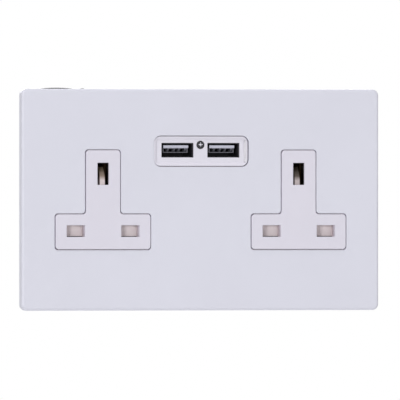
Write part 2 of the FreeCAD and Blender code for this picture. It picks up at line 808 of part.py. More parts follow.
def make_spring(name, side):
    """A coil spring between the shutter's foot and its shelf, of wire bent round an octagon."""
    radius = (SIZES["spring_diameter"] - SIZES["spring_wire"]) / 2
    half_wire = SIZES["spring_wire"] / 2
    hole_bottom = -SIZES["live_hole_height"] / 2 - SIZES["pin_line"]
    bottom = hole_bottom + SIZES["shutter_sill"] - SIZES["spring_length"]
    sides_a_turn = 8
    steps = int(SIZES["spring_turns"] * sides_a_turn)
    rise = (SIZES["spring_length"] - 2 * SIZES["spring_wire"]) / steps
    path = []
    for step in range(steps + 1):
        turn = 2 * math.pi * step / sides_a_turn
        height = SIZES["spring_wire"] + step * rise
        path.append(FreeCAD.Vector(radius * math.cos(turn), radius * math.sin(turn), height))
    along = (path[1] - path[0]).normalize()
    outward = along.cross(FreeCAD.Vector(0, 0, 1)).normalize()
    upward = outward.cross(along)
    corners = [
        path[0] + outward * half_wire + upward * half_wire,
        path[0] - outward * half_wire + upward * half_wire,
        path[0] - outward * half_wire - upward * half_wire,
        path[0] + outward * half_wire - upward * half_wire,
    ]
    section = Part.makePolygon(corners + corners[:1])
    right_corners = 1
    spring = doc.addObject("Part::Feature", "spring_" + name)
    spring.Shape = Part.makePolygon(path).makePipeShell([section], True, True, right_corners)
    middle = side * SIZES["socket_spacing"] / 2
    spring.Placement = FreeCAD.Placement(
        FreeCAD.Vector(middle, SIZES["spring_seat"], bottom), FreeCAD.Rotation()
    )
    keep(spring, "shutter_spring_" + name)


def clip_outline(back, gap, centre):
    """A flared channel seen end on: depths from the wall, and heights about a centre."""
    near = f"({gap} / 2)"
    far = f"({gap} / 2 + brass)"
    flare_end = "(clip_start + clip_mouth)"
    outer = [("clip_start", f"{far} + clip_flare"), (flare_end, far), (f"{back} + brass", far)]
    inner = [(back, near), (flare_end, near), ("clip_start", f"{near} + clip_flare")]
    above = [(y, f"{centre} + {z}") for y, z in outer]
    below = [(y, f"{centre} - ({z})") for y, z in reversed(outer)]
    inside_below = [(y, f"{centre} - ({z})") for y, z in reversed(inner)]
    inside_above = [(y, f"{centre} + {z}") for y, z in inner]
    return above + below + inside_below + inside_above


def make_supply_bar(label, pin_way, bar_up, bar_depth, tab_way):
    """A bar with a pair of leaves for one pin of each socket, joined by short tabs."""
    body = new_body(label)
    front = f"-{bar_depth}"
    first = f"(-socket_spacing / 2 + {pin_way} * pin_spacing / 2)"
    last = f"(socket_spacing / 2 + {pin_way} * pin_spacing / 2)"
    length = f"({last} - {first} + tab_width)"
    add_blocks(body, front, "brass", (f"({first} + {last}) / 2", bar_up, length, "bar_height"))
    tab_end = f"(-pin_line + {tab_way} * live_clip_gap / 2)"
    tab_height = f"({tab_way} * ({bar_up} - {tab_end}))"
    tab_up = f"(({bar_up} + {tab_end}) / 2)"
    tabs = [(place, tab_up, "tab_width", tab_height) for place in (first, last)]
    add_blocks(body, front, "brass", *tabs)
    for place in (first, last):
        outline = clip_outline(bar_depth, "live_clip_gap", "-pin_line")
        add_profile(body, place, outline, "live_clip_width")
    keep(body, label)


def make_earth_bar():
    """A bar with upright leaves for each socket's earth pin."""
    body = new_body("earth_busbar")
    front = "-earth_bar_depth"
    leaves_width = "(earth_clip_gap + 2 * brass)"
    length = f"(socket_spacing + {leaves_width})"
    add_blocks(body, front, "brass", (0, EARTH_BAR_UP, length, "bar_height"))
    tab_height = f"({EARTH_UP} - {EARTH_BAR_UP})"
    tab_up = f"({EARTH_UP} + {EARTH_BAR_UP}) / 2"
    centres = [f"({side} * socket_spacing / 2)" for side in SIDES.values()]
    tabs = [(centre, tab_up, leaves_width, tab_height) for centre in centres]
    add_blocks(body, front, "brass", *tabs)
    sketch = new_sketch(body, "XY_Plane", EARTH_UP)
    for centre in centres:
        outline = clip_outline("earth_bar_depth", "earth_clip_gap", centre)
        draw_polygon(sketch, [(x, y) for y, x in outline])
    pad(body, sketch, "earth_clip_height", both_ways=True)
    keep(body, "earth_busbar")


def make_terminals():
    """Pillar terminals: a brass block in front of its bar, with a hole for wires and a screw."""
    labels = ("line_terminal", "neutral_terminal", "earth_terminal_left", "earth_terminal_right")
    screws = []
    for label, (place, up, bar_depth, screw_way, _) in zip(labels, terminal_places()):
        body = new_body(label)
        front = f"-({bar_depth} - terminal_depth)"
        add_blocks(body, front, "terminal_depth", (place, up, "terminal_width", "terminal_height"))
        hole_depth = f"({bar_depth} - terminal_depth / 2)"
        sketch = new_sketch(body, "XY_Plane", up)
        draw_circle(sketch, place, hole_depth, "wire_hole")
        pocket(body, sketch, "2 * terminal_height", both_ways=True)
        screw_up = f"({up} + {screw_way} * terminal_screw_offset)"
        drilled = (place, screw_up, "terminal_screw_hole")
        cut_rounds(body, f"-{hole_depth}", "terminal_depth / 2", drilled)
        keep(body, label)
        screws.append(make_back_screw(
            place,
            screw_up,
            f"({bar_depth} + terminal_screw_lift)",
            ("terminal_screw", "terminal_screw"),
            "(terminal_screw_lift + terminal_screw_reach)",
        ))
    keep_group(screws, "terminal_screws")


def make_back_screw(x, z, seat, diameters, shank_length):
    """A slotted screw driven from the back, with the underside of its head at seat."""
    head, shank = diameters
    body = new_body("screw")
    add_rounds(body, f"-{seat}", "screw_head_height", (x, z, head))
    add_rounds(body, f"-{seat} + {shank_length}", shank_length, (x, z, shank))
    slot_front = f"-({seat} + screw_head_height - slot_depth)"
    cut_blocks(body, slot_front, "slot_depth", (x, z, f"2 * {head}", "slot_width"))
    return body


def edges_at_back(body):
    """Names of the edges at the body's deepest plane."""
    deepest = body.Tip.Shape.BoundBox.YMax
    names = []
    for number, edge in enumerate(body.Tip.Shape.Edges, start=1):
        if edge.BoundBox.YMin > deepest - 1e-4:
            names.append(f"Edge{number}")
    return names


def make_housing_screws():
    screws = []
    for side in SIDES.values():
        for way in (-1, 1):
            screws.append(make_back_screw(
                f"{side} * post_across",
                f"{way} * post_up",
                "screw_seat",
                ("screw_head", "screw_shank"),
                "(screw_seat - housing_start + screw_bite - slot_slack)",
            ))
    keep_group(screws, "housing_screws")


def make_link(label, place, bar_up, bar_depth):
    """A flat strip from the back of a bar up to the charger's board."""
    body = new_body(label)
    top = f"({BOARD_TOP} - board_thickness)"
    bottom = f"({bar_up} - bar_height / 2)"
    strip = (place, f"({top} + {bottom}) / 2", "link_width", f"{top} - {bottom}")
    add_blocks(body, f"-({bar_depth} + brass)", "link_thickness", strip)
    keep(body, label)


def make_bezel():
    """The frame round the charging ports: a raised rim, a sunk panel and a spigot per port."""
    body = new_body("usb_bezel")
    flange = (0, "bezel_up", "bezel_width", "bezel_height")
    add_blocks(body, BEZEL_FRONT, f"({BEZEL_FRONT} - {BEZEL_BACK})", flange)
    mouth = (0, "bezel_up", "bezel_width - 2 * bezel_rim", "bezel_height - 2 * bezel_rim")
    cut_sloping(body, BEZEL_FRONT, "bezel_step", "bezel_slope_angle", mouth)
    round_off(body, depth_edges(body, empty_shape()), "bezel_corner")
    round_off(body, slanting_edges(body), "bezel_corner - bezel_rim")
    places = [f"({side} * port_spacing / 2)" for side in SIDES.values()]
    spigot = ("port_hole_width - 2 * port_slack", "port_hole_height - 2 * port_slack")
    room = ("shell_width + 2 * port_slack", "shell_height + 2 * port_slack")
    add_blocks(body, BEZEL_BACK, "bezel_spigot", *[(x, "port_up", *spigot) for x in places])
    ports = [(x, "port_up", "port_width", "port_height") for x in places]
    cut_blocks(body, PANEL_FRONT, "bezel_panel", *ports)
    room_front = f"({PANEL_FRONT} - bezel_panel)"
    cut_blocks(body, room_front, "plate_front", *[(x, "port_up", *room) for x in places])
    sink = "(bezel_screw_set_back + bezel_screw_head_height)"
    place = (0, "bezel_screw_up")
    cut_rounds(body, PANEL_FRONT, sink, (*place, "bezel_screw_room"))
    cut_rounds(body, PANEL_FRONT, "plate_front", (*place, "bezel_screw_hole"))
    keep(body, "usb_bezel")


def make_bezel_screw():
    """A small cross-head screw whose domed head sits in the bezel."""
    body = new_body("bezel_screw")
    head_front = f"({PANEL_FRONT} - bezel_screw_set_back)"
    place = (0, "bezel_screw_up")
    add_rounds(body, head_front, "bezel_screw_head_height", (*place, "bezel_screw_head"))
    front_edge = edges_at_front(body, -body.Tip.Shape.BoundBox.YMin, SIZES["bezel_screw_head"])
    round_off(body, front_edge, "bezel_screw_head_height / 2", "Chamfer")
    shank_front = f"({head_front} - bezel_screw_head_height)"
    add_rounds(body, shank_front, "bezel_screw_length / 2", (*place, "bezel_screw_shank"))
    cut_blocks(body, head_front, "cross_depth", (*place, "cross_width", "cross_length"))
    cut_blocks(body, head_front, "cross_depth", (*place, "cross_length", "cross_width"))
    keep(body, "bezel_screw")


def make_port(name, side):
    """One charging port: a folded steel shell, a plastic tongue, its block and four contacts."""
    place = f"({side} * port_spacing / 2)"
    shell = new_body("usb_shell_" + name)
    outer = (place, "port_up", "shell_width", "shell_height")
    inner = (place, "port_up", "shell_width - 2 * shell_wall", "shell_height - 2 * shell_wall")
    add_blocks(shell, SHELL_FRONT, "shell_length", outer)
    cut_blocks(shell, SHELL_FRONT, "shell_length", inner)
    window_front = f"({SHELL_FRONT} - window_length / 2)"
    window = ("port_up + shell_height / 2", "window_width", "4 * shell_wall")
    windows = [(f"{place} + {way} * shell_width / 4", *window) for way in (-1, 1)]
    cut_blocks(shell, window_front, "window_length", *windows)
    keep(shell, "usb_shell_" + name)
    make_tongue(name, place)
    make_contacts(name, place)


def make_tongue(name, place):
    """The pale tongue, and the dark block that carries it and fills the back of the shell."""
    body = new_body("usb_tongue_" + name)
    inner_back = f"({SHELL_FRONT} - shell_length)"
    block_front = f"({inner_back} + rear_block)"
    profile = [
        (f"-{TONGUE_FRONT}", TONGUE_TOP),
        (f"-{block_front}", TONGUE_TOP),
        (f"-{block_front}", TONGUE_BOTTOM),
        (f"tongue_chamfer - {TONGUE_FRONT}", TONGUE_BOTTOM),
        (f"-{TONGUE_FRONT}", f"{TONGUE_BOTTOM} + tongue_chamfer"),
    ]
    add_profile(body, place, profile, "tongue_width")
    keep(body, "usb_tongue_" + name)
    block = new_body("usb_block_" + name)
    root_front = f"({TONGUE_FRONT} - root_start)"
    root_depth = f"({root_front} - {inner_back})"
    root_height = "(root_height - tongue_height)"
    root_up = f"({TONGUE_BOTTOM} - {root_height} / 2)"
    add_blocks(block, root_front, root_depth, (place, root_up, "tongue_width", root_height))
    block_width = "shell_width - 2 * shell_wall - 2 * port_slack"
    block_height = "shell_height - 2 * shell_wall - 2 * port_slack"
    add_blocks(block, block_front, "rear_block", (place, "port_up", block_width, block_height))
    slots = [
        (f"{place} + {offset}", root_up, "contact_slot", root_height) for offset in CONTACT_PLACES
    ]
    cut_blocks(block, root_front, root_depth, *slots)
    keep(block, "usb_block_" + name)


def make_contacts(name, place):
    """Four strips under the tongue, each with a bump, and a leg down to the board behind."""
    underside = TONGUE_BOTTOM
    strip = f"({TONGUE_BOTTOM} - contact_thickness)"
    bump = f"({strip} - contact_bump)"
    start = f"(contact_start - {TONGUE_FRONT})"
    bump_near = f"({start} + root_start / 3)"
    bump_far = f"({start} + root_start / 2)"
    bump_end = f"(root_start - {TONGUE_FRONT})"
    leg_front = f"(shell_length - {SHELL_FRONT} + contact_leg)"
    leg_back = f"({leg_front} + contact_thickness)"
    outline = [
        (start, underside),
        (start, strip),
        (f"({start} + contact_leg)", strip),
        (bump_near, bump),
        (bump_far, bump),
        (bump_end, strip),
        (leg_front, strip),
        (leg_front, BOARD_TOP),
        (leg_back, BOARD_TOP),
        (leg_back, underside),
        (f"({bump_end} + contact_thickness)", underside),
        (f"{bump_far} + contact_thickness", f"{bump} + contact_thickness"),
        (f"{bump_near} - contact_thickness / 2", f"{bump} + contact_thickness"),
        (f"({start} + contact_leg + contact_thickness / 2)", underside),
    ]
    strips = []
    for offset in CONTACT_PLACES:
        body = new_body("contact")
        add_profile(body, f"{place} + {offset}", outline, "contact_width")
        strips.append(body)
    keep_group(strips, "usb_contacts_" + name)


def make_charger():
    board = new_body("usb_circuit_board")
    width = "2 * charger_half - 2 * board_slack"
    slab = (0, f"({BOARD_TOP} - board_thickness / 2)", width, "board_thickness")
    add_blocks(board, "-board_front", "board_length", slab)
    keep(board, "usb_circuit_board")
    core = new_body("usb_transformer")
    core_up = f"({BOARD_TOP} + core_height / 2)"
    core_front = "-(component_depth - core_depth / 2)"
    block = ("transformer_place", core_up, "core_width", "core_height")
    add_blocks(core, core_front, "core_depth", block)
    coil_front = "-(component_depth - coil_depth / 2)"
    coil = ("transformer_place", core_up, "coil_width", "coil_height")
    add_blocks(core, coil_front, "coil_depth", coil)
    keep(core, "usb_transformer")
    capacitors = []
    for way in (-1, 1):
        can = new_body("capacitor")
        place = f"-capacitor_place + {way} * capacitor_spacing / 2"
        sketch = new_sketch(can, "XY_Plane", BOARD_TOP)
        draw_circle(sketch, place, "component_depth", "capacitor_diameter")
        pad(can, sketch, "capacitor_height", backwards=False)
        capacitors.append(can)
    keep_group(capacitors, "usb_capacitors")


def make_cover_clips():
    """Bowed steel strips in the moulding's edge, which grip the plate's rim from inside."""
    clips = []
    near = f"(clip_side_gap - {MOULDING_FRONT})"
    far = "(-gasket_thickness - clip_side_gap)"
    middle = f"(({near} + {far}) / 2)"
    for side in SIDES.values():
        for way in (-1, 1):
            body = new_body("cover_clip")
            seat = f"{way} * ({MOULDING_HEIGHT} / 2 - clip_notch)"
            strip_top = f"{way} * ({MOULDING_HEIGHT} / 2 - clip_notch + clip_strip)"
            bow_low = f"{way} * ({MOULDING_HEIGHT} / 2 - clip_notch + clip_bow)"
            bow_top = f"{way} * ({MOULDING_HEIGHT} / 2 - clip_notch + clip_bow + clip_strip)"
            outline = [
                (near, seat),
                (middle, bow_low),
                (far, seat),
                (far, strip_top),
                (middle, bow_top),
                (near, strip_top),
            ]
            add_profile(body, f"{side} * clip_place", outline, "clip_width")
            clips.append(body)
    keep_group(clips, "cover_clips")


def check_and_write():
    doc.recompute()
    for thing in doc.Objects:
        if "Invalid" in thing.State or "Error" in thing.State:
            raise RuntimeError(f"{thing.Name} of {thing.Label} has failed: {thing.State}")
    for piece in nodes:
        if piece.Shape.isNull() or not piece.Shape.isValid() or not piece.Shape.Solids:
            raise RuntimeError(f"{piece.Label} has no sound shape")
    os.makedirs("parts", exist_ok=True)
    for piece in nodes:
        piece.Shape.exportStep(f"parts/{piece.Label}.step")


fill_sheet()
make_cover_plate()
make_gasket()
make_front_moulding()
make_rear_housing()
make_housing_screws()
for side_name, side_sign in SIDES.items():
    make_shutter(side_name, side_sign)
    make_spring(side_name, side_sign)
    make_port(side_name, side_sign)
make_supply_bar("line_busbar", 1, LINE_BAR_UP, "line_bar_depth", -1)
make_supply_bar("neutral_busbar", -1, NEUTRAL_BAR_UP, "neutral_bar_depth", 1)
make_earth_bar()
make_terminals()
make_link("line_link", "line_link_place", LINE_BAR_UP, "line_bar_depth")
make_link("neutral_link", "-neutral_link_place", NEUTRAL_BAR_UP, "neutral_bar_depth")
make_bezel()
make_bezel_screw()
make_charger()
make_cover_clips()
check_and_write()
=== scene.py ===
import math

import bmesh
import bpy
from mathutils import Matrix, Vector


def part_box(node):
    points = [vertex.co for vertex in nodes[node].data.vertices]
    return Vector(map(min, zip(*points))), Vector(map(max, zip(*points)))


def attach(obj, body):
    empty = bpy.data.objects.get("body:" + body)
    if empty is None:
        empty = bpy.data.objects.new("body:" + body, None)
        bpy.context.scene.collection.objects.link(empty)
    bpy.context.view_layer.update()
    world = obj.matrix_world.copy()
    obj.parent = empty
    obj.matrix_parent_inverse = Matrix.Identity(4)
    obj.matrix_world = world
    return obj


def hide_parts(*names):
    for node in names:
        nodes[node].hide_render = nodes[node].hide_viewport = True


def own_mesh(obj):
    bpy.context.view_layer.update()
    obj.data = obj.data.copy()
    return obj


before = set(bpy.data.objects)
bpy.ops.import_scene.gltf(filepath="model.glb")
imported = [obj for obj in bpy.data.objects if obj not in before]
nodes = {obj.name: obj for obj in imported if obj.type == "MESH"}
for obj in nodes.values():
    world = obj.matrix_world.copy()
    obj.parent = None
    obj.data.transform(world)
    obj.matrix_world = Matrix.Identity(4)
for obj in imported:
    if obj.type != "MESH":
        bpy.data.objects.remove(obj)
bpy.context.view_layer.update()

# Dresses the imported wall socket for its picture: the camera and lights, a procedural material
# for every piece, and the details that are too fine for the solids.
# The frame is the part's own, in metres: X to the right, Z up and Y into the wall.

MM = 0.001


# Objects and meshes

EASING_STEPS = 3
SHARP_ANGLE = math.radians(35)


def add_object(name, data):
    thing = bpy.data.objects.new(name, data)
    bpy.context.collection.objects.link(thing)
    return thing


def finish_mesh(shape, name):
    """Turns a built-up shape into a mesh whose faces all look outwards."""
    bmesh.ops.recalc_face_normals(shape, faces=shape.faces)
    mesh = bpy.data.meshes.new(name)
    shape.to_mesh(mesh)
    shape.free()
    return mesh


def bridge(shape, first, second):
    """Joins two rings of corners with a band of faces; one of them may be a single point."""
    steps = max(len(first), len(second))
    for step in range(steps):
        after = (step + 1) % steps
        near = [first[step % len(first)], first[after % len(first)]]
        far = [second[after % len(second)], second[step % len(second)]]
        shape.faces.new(list(dict.fromkeys(near + far)))


def turned_mesh(name, profile, segments):
    """A closed mesh turned about the Y axis from pairs of radius and depth, ends on the axis."""
    shape = bmesh.new()
    rings = []
    for radius, depth in profile:
        ring = []
        for step in range(segments if radius > 0 else 1):
            angle = 2 * math.pi * step / segments
            x, z = radius * math.cos(angle), radius * math.sin(angle)
            ring.append(shape.verts.new((x, depth, z)))
        rings.append(ring)
    for first, second in zip(rings, rings[1:]):
        bridge(shape, first, second)
    return finish_mesh(shape, name)


# An outline is drawn in one of two views, and the third number says how far along the sight
# line each end of its prism lies.


def front_view(x, z, y):
    return x, y, z


def side_view(y, z, x):
    return x, y, z


def prism(shape, outline, start, end, place):
    """A closed shell of an outline drawn out from start to end, placed by one of the two views."""
    near = [shape.verts.new(place(a, b, start)) for a, b in outline]
    far = [shape.verts.new(place(a, b, end)) for a, b in outline]
    shape.faces.new(near)
    shape.faces.new(far[::-1])
    bridge(shape, near, far)


def prism_object(name, outline, start, end, place):
    shape = bmesh.new()
    prism(shape, outline, start, end, place)
    return add_object(name, finish_mesh(shape, name))


def rectangle(left, right, bottom, top):
    """The corners of a rectangle in front_view, or flat on the floor."""
    return [(left, bottom), (right, bottom), (right, top), (left, top)]


def side_rectangle(front, back, bottom, top):
    """The corners of a rectangle in side_view."""
    return [(front, bottom), (front, top), (back, top), (back, bottom)]


def apply_modifiers(thing):
    """Gives a thing the mesh that its modifiers make of it."""
    bpy.context.view_layer.update()
    finished = thing.evaluated_get(bpy.context.evaluated_depsgraph_get())
    mesh = bpy.data.meshes.new_from_object(finished)
    thing.modifiers.clear()
    thing.data = mesh


def combine(thing, other, operation):
    """Joins a closed shape to a thing, or cuts it away and leaves its finish on the cut."""
    modifier = thing.modifiers.new("combine", "BOOLEAN")
    modifier.operation = operation
    modifier.solver = "EXACT"
    modifier.material_mode = "TRANSFER"
    modifier.object = other
    apply_modifiers(thing)
    bpy.data.objects.remove(other)


def ease_edges(thing, width):
    modifier = thing.modifiers.new("edges", "BEVEL")
    modifier.width = width
    modifier.segments = EASING_STEPS
    modifier.limit_method = "ANGLE"
    modifier.angle_limit = SHARP_ANGLE
    apply_modifiers(thing)


def stand_for(thing, node, material, body):
    """Gives a piece its finish and puts it in the place of a solid."""
    thing.data.materials.clear()
    thing.data.materials.append(material)
    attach(thing, body)
    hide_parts(node)


# The range that nearly all of a noise lies in, and the rays that soften an edge
NOISE_RANGE = (0.3, 0.7)
EDGE_SAMPLES = 6


class Surface:
    """A material built on one shader, with a few kinds of procedural detail to add to it."""

    def __init__(self, name, colour, roughness, metallic=0.0):
        self.material = bpy.data.materials.new(name)
        self.material.use_nodes = True
        self.tree = self.material.node_tree
        self.shader = self.tree.nodes["Principled BSDF"]
        self.colour = colour
        self.roughness = roughness
        self.shader.inputs["Base Color"].default_value = (*colour, 1.0)
        self.shader.inputs["Roughness"].default_value = roughness
        self.shader.inputs["Metallic"].default_value = metallic
        self.place = self.tree.nodes.new("ShaderNodeTexCoord").outputs["Object"]

    def feed(self, socket, value):
        """Sets an input to a plain number or colour, or links another node's output to it."""
        if isinstance(value, bpy.types.NodeSocket):
            self.tree.links.new(value, socket)
        elif isinstance(value, tuple):
            socket.default_value = (*value, 1.0)
        else:
            socket.default_value = value

    def map_range(self, value, source, target=(0.0, 1.0)):
        """A number taken from one range to another and held within it."""
        node = self.tree.nodes.new("ShaderNodeMapRange")
        for socket, number in zip(("From Min", "From Max", "To Min", "To Max"), source + target):
            node.inputs[socket].default_value = number
        self.tree.links.new(value, node.inputs["Value"])
        return node.outputs["Result"]

    def calculate(self, operation, first, second=0.0):
        node = self.tree.nodes.new("ShaderNodeMath")
        node.operation = operation
        self.feed(node.inputs[0], first)
        self.feed(node.inputs[1], second)
        return node.outputs[0]

    def mix(self, factor, first, second):
        """A colour between two others; each is a socket or a plain colour."""
        node = self.tree.nodes.new("ShaderNodeMix")
        node.data_type = "RGBA"
        self.feed(node.inputs["Factor"], factor)
        self.feed(node.inputs["A"], first)
        self.feed(node.inputs["B"], second)
        return node.outputs["Result"]

    def noise(self, scale, detail=3.0, stretch=(1.0, 1.0, 1.0)):
        """Noise whose scale is counted in grains to the metre, stretched along the axes."""
        mapping = self.tree.nodes.new("ShaderNodeMapping")
        mapping.inputs["Scale"].default_value = stretch
        self.tree.links.new(self.place, mapping.inputs["Vector"])
        texture = self.tree.nodes.new("ShaderNodeTexNoise")
        texture.inputs["Scale"].default_value = scale
        texture.inputs["Detail"].default_value = detail
        self.tree.links.new(mapping.outputs["Vector"], texture.inputs["Vector"])
        return texture.outputs["Fac"]

    def place_on(self, axis):
        split = self.tree.nodes.new("ShaderNodeSeparateXYZ")
        self.tree.links.new(self.place, split.inputs[0])
        return split.outputs[axis]

    def along(self, axis, start, end):
        """A number that grows from 0 to 1 between two places on an axis, in metres."""
        return self.map_range(self.place_on(axis), (start, end))

    def near(self, axis, middle, half, soft):
        """A number that is 1 within a band each side of a place on an axis and its mirror."""
        from_centre = self.calculate("ABSOLUTE", self.place_on(axis))
        from_middle = self.calculate("SUBTRACT", from_centre, middle)
        away = self.calculate("ABSOLUTE", from_middle)
        return self.map_range(away, (half + soft, half))

    def vary_colour(self, scale, amount):
        """Makes the colour drift a little lighter and darker."""
        light = tuple(min(part * (1 + amount), 1.0) for part in self.colour)
        dark = tuple(part * (1 - amount) for part in self.colour)
        share = self.map_range(self.noise(scale), NOISE_RANGE)
        self.feed(self.shader.inputs["Base Color"], self.mix(share, dark, light))

    def vary_roughness(self, scale, amount, stretch=(1.0, 1.0, 1.0)):
        limits = (self.roughness - amount, self.roughness + amount)
        value = self.map_range(self.noise(scale, stretch=stretch), NOISE_RANGE, limits)
        self.feed(self.shader.inputs["Roughness"], value)

    def tint(self, tint, *shares):
        """Turns the varied colour to a tint by the product of numbers from 0 to 1."""
        share = shares[0]
        for other in shares[1:]:
            share = self.calculate("MULTIPLY", share, other)
        colour = self.shader.inputs["Base Color"]
        self.feed(colour, self.mix(share, colour.links[0].from_socket, tint))

    def round_edges(self, radius, wider=None, share=None):
        """Softens the light on sharp edges as a radius does, up to a wider one by a share."""
        bevel = self.tree.nodes.new("ShaderNodeBevel")
        bevel.samples = EDGE_SAMPLES
        bevel.inputs["Radius"].default_value = radius
        if share is not None:
            width = self.map_range(share, (0.0, 1.0), (radius, wider))
            self.feed(bevel.inputs["Radius"], width)
        self.feed(self.shader.inputs["Normal"], bevel.outputs["Normal"])

    def add_bump(self, scale, height, detail=2.0, stretch=(1.0, 1.0, 1.0)):
        """Raises and lowers the surface by a height in metres, on top of any softened edge."""
        bump = self.tree.nodes.new("ShaderNodeBump")
        bump.inputs["Distance"].default_value = height
        self.feed(bump.inputs["Height"], self.noise(scale, detail, stretch))
        normal = self.shader.inputs["Normal"]
        if normal.links:
            self.feed(bump.inputs["Normal"], normal.links[0].from_socket)
        self.feed(normal, bump.outputs["Normal"])


# The heights between which the front plate's edges grow softer, towards its top rim
TOP_RIM = (41.2 * MM, 42.0 * MM)


def cover_paint():
    """Satin powder coat: a fine orange peel and hardly any drift of colour."""
    surface = Surface("cover_paint", (0.71, 0.71, 0.80), roughness=0.38)
    surface.vary_colour(scale=25.0, amount=0.012)
    surface.vary_roughness(scale=300.0, amount=0.05)
    top_rim = surface.along("Z", *TOP_RIM)
    surface.round_edges(radius=0.15 * MM, wider=1.2 * MM, share=top_rim)
    surface.add_bump(scale=900.0, height=0.008 * MM)
    return surface.material


# The depths between which painted shade, darker and warmer, comes into the holes and grooves of
# the two faces, and those between which painted shade darkens the earth holes' pockets, behind the
# skin
HOLE_SHADE_DEPTHS = (-3.9 * MM, -1.0 * MM)
POCKET_SHADE_DEPTHS = (-3.5 * MM, -2.8 * MM)
SOCKET_PLACE = 40.0 * MM
POCKET_HALF_WIDTH = 3.7 * MM
POCKET_SIDE_BLUR = 0.1 * MM
POCKET_BOTTOM = 4.0 * MM
POCKET_TOP = 16.0 * MM
POCKET_BLUR = 0.4 * MM
POCKET_SHADE_TINT = (0.045, 0.026, 0.020)
HOLE_SHADE_TINT = (0.58, 0.49, 0.52)


def face_plastic():
    """The smooth, slightly warmer moulding of the socket faces, with painted shade down in the
    holes.
    """
    surface = Surface("face_plastic", (0.718, 0.695, 0.785), roughness=0.36)
    surface.vary_colour(scale=40.0, amount=0.010)
    # Painted shade, darker and warmer, deeper in the holes and grooves
    surface.tint(HOLE_SHADE_TINT, surface.along("Y", *HOLE_SHADE_DEPTHS))
    # Painted shade that darkens the earth holes' pockets behind the skin
    behind_skin = surface.along("Y", *POCKET_SHADE_DEPTHS)
    beside_hole = surface.near("X", SOCKET_PLACE, POCKET_HALF_WIDTH, POCKET_SIDE_BLUR)
    above_bottom = surface.along("Z", POCKET_BOTTOM, POCKET_BOTTOM + POCKET_BLUR)
    below_top = surface.along("Z", POCKET_TOP, POCKET_TOP - POCKET_BLUR)
    surface.tint(POCKET_SHADE_TINT, behind_skin, beside_hole, above_bottom, below_top)
    surface.vary_roughness(scale=500.0, amount=0.04)
    surface.round_edges(radius=0.40 * MM)
    surface.add_bump(scale=1100.0, height=0.0015 * MM)
    return surface.material


# The depths between which painted shade darkens the ports' openings, and the slope from the
# bezel's panel up to its rim, which has painted shade on the right
OPENING_SHADE_DEPTHS = (-3.2 * MM, -2.7 * MM)
SLOPE_START = 17.5 * MM
SLOPE_START_BLUR = 0.3 * MM
SLOPE_END = 18.7 * MM
SLOPE_END_BLUR = 0.2 * MM
BEZEL_HEIGHT = 18.85 * MM
PANEL_HALF_HEIGHT = 4.3 * MM
PANEL_BLUR = 0.4 * MM
OPENING_SHADE_TINT = (0.12, 0.11, 0.13)
SLOPE_SHADE_TINT = (0.50, 0.485, 0.54)


def bezel_plastic():
    """The smooth moulding round the ports, with painted shade where it lines their openings and on
    the right slope.
    """
    surface = Surface("bezel_plastic", (0.742, 0.722, 0.808), roughness=0.34)
    surface.vary_colour(scale=60.0, amount=0.010)
    # Painted shade, dark, deep in the ports' openings
    surface.tint(OPENING_SHADE_TINT, surface.along("Y", *OPENING_SHADE_DEPTHS))
    # Painted shade on the slope up to the rim, on the right side only
    past_panel = surface.along("X", SLOPE_START, SLOPE_START + SLOPE_START_BLUR)
    before_rim = surface.along("X", SLOPE_END, SLOPE_END - SLOPE_END_BLUR)
    beside_ports = surface.near("Z", BEZEL_HEIGHT, PANEL_HALF_HEIGHT, PANEL_BLUR)
    surface.tint(SLOPE_SHADE_TINT, past_panel, before_rim, beside_ports)
    surface.vary_roughness(scale=500.0, amount=0.04)
    surface.round_edges(radius=0.20 * MM)
    surface.add_bump(scale=1100.0, height=0.0015 * MM)
    return surface.material


# The painted shade, warm brown with a painted reflection of the brass, that comes in up a
# shutter's ramp, each tint between two heights. The lowest keeps at least a share of its light,
# however dark the ramp is.
FOOT_SHADE_TINT = (0.68, 0.59, 0.59)
FOOT_LEAST_LIGHT = 0.6
FOOT_HEIGHTS = (5.0 * MM, 5.6 * MM)
RAMP_SHADE_TINTS = [
    ((0.27, 0.20, 0.16), 7.4 * MM, 9.2 * MM),
    ((0.12, 0.095, 0.062), 9.2 * MM, 12.2 * MM),
]


def shaded(colour, light):
    return tuple(part * light for part in colour)


def shutter_plastic(ramp_shade):
    """Warm white; the ramp has painted shade, warm brown and darker towards its top, one side more
    than the other.
    """
    surface = Surface("shutter_plastic", (0.77, 0.695, 0.70), roughness=0.45)
    surface.vary_colour(scale=90.0, amount=0.03)
    # Painted shade, warm brown, coming in up the ramp; ramp_shade makes it darker on one side
    foot_light = FOOT_LEAST_LIGHT + (1 - FOOT_LEAST_LIGHT) * ramp_shade
    surface.tint(shaded(FOOT_SHADE_TINT, foot_light), surface.along("Z", *FOOT_HEIGHTS))
    for tint, start, end in RAMP_SHADE_TINTS:
        surface.tint(shaded(tint, ramp_shade), surface.along("Z", start, end))
    surface.vary_roughness(scale=700.0, amount=0.06)
    surface.add_bump(scale=1800.0, height=0.004 * MM)
    return surface.material


def housing_plastic():
    """The back's dark moulding, with a light spark texture."""
    surface = Surface("housing_plastic", (0.022, 0.017, 0.015), roughness=0.60)
    surface.vary_colour(scale=35.0, amount=0.02)
    surface.vary_roughness(scale=600.0, amount=0.06)
    surface.add_bump(scale=1500.0, height=0.02 * MM)
    return surface.material


# The depths between which the tongues fall into shade
PORT_SHADE = (-1.5 * MM, -1.0 * MM)
PORT_SHADE_TINT = (0.115, 0.113, 0.142)


